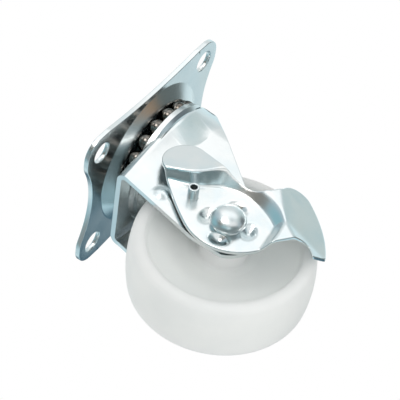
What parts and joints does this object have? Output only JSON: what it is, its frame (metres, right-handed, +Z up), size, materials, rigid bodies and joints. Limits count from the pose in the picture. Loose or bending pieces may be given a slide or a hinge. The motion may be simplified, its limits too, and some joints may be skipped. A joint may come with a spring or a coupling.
{
  "type": "swivel plate castor",
  "caption": "Swivel plate castor with a single plastic wheel, a stamped zinc-plated fork on two ball races and a side lever brake.",
  "frame": {"origin": "centre of the bolt pattern, on the swivel axis in the plate's top face", "axes": "+Z up through the plate towards what it is bolted to, -X the way the wheel trails, -Y the brake side"},
  "size_m": [0.074, 0.047, 0.065],
  "materials": {
    "zinc_plate": "bright zinc plated, blue passivated",
    "zinc_fork": "bright zinc plated, blue passivated",
    "zinc_lever": "bright zinc plated, blue passivated",
    "zinc_rivet": "zinc plated, peened",
    "ball_steel": "hardened and polished",
    "wheel_plastic": "moulded white plastic, satin"
  },
  "bodies": {
    "base": {"top_plate": "zinc_plate", "kingpin": "zinc_rivet", "lower_race_cup": "zinc_fork"},
    "upper_balls": {"upper_ball_01": "ball_steel", "upper_ball_02": "ball_steel", "upper_ball_03": "ball_steel", "upper_ball_04": "ball_steel", "upper_ball_05": "ball_steel", "upper_ball_06": "ball_steel", "upper_ball_07": "ball_steel", "upper_ball_08": "ball_steel", "upper_ball_09": "ball_steel", "upper_ball_10": "ball_steel", "upper_ball_11": "ball_steel", "upper_ball_12": "ball_steel", "upper_ball_13": "ball_steel", "upper_ball_14": "ball_steel", "upper_ball_15": "ball_steel", "upper_ball_16": "ball_steel", "upper_ball_17": "ball_steel", "upper_ball_18": "ball_steel", "upper_ball_19": "ball_steel"},
    "lower_balls": {"lower_ball_01": "ball_steel", "lower_ball_02": "ball_steel", "lower_ball_03": "ball_steel", "lower_ball_04": "ball_steel", "lower_ball_05": "ball_steel", "lower_ball_06": "ball_steel", "lower_ball_07": "ball_steel", "lower_ball_08": "ball_steel", "lower_ball_09": "ball_steel", "lower_ball_10": "ball_steel", "lower_ball_11": "ball_steel", "lower_ball_12": "ball_steel"},
    "swivel_fork": {"fork": "zinc_fork", "axle_rivet": "zinc_rivet", "axle_bush": "zinc_rivet"},
    "road_wheel": {"wheel": "wheel_plastic"},
    "lever": {"brake_lever": "zinc_lever", "lever_pin": "zinc_rivet"}
  },
  "joints": [
    {"name": "swivel", "type": "hinge", "parent": "base", "child": "swivel_fork", "pos_m": [0, 0, 0], "axis": [0, 0, 1], "continuous": true},
    {"name": "upper_ball_orbit", "type": "hinge", "parent": "base", "child": "upper_balls", "pos_m": [0, 0, 0], "axis": [0, 0, 1], "continuous": true},
    {"name": "lower_ball_orbit", "type": "hinge", "parent": "base", "child": "lower_balls", "pos_m": [0, 0, 0], "axis": [0, 0, 1], "continuous": true},
    {"name": "wheel_spin", "type": "hinge", "parent": "swivel_fork", "child": "road_wheel", "pos_m": [-0.02, 0, -0.04], "axis": [0, 1, 0], "continuous": true},
    {"name": "brake_turn", "type": "hinge", "parent": "swivel_fork", "child": "lever", "pos_m": [-0.02, 0, -0.04], "axis": [0, -1, 0], "range_deg": [0, 30]}
  ],
  "couplings": [
    {"joint": "upper_ball_orbit", "follows": "swivel", "ratio": 0.5},
    {"joint": "lower_ball_orbit", "follows": "swivel", "ratio": 0.5}
  ]
}
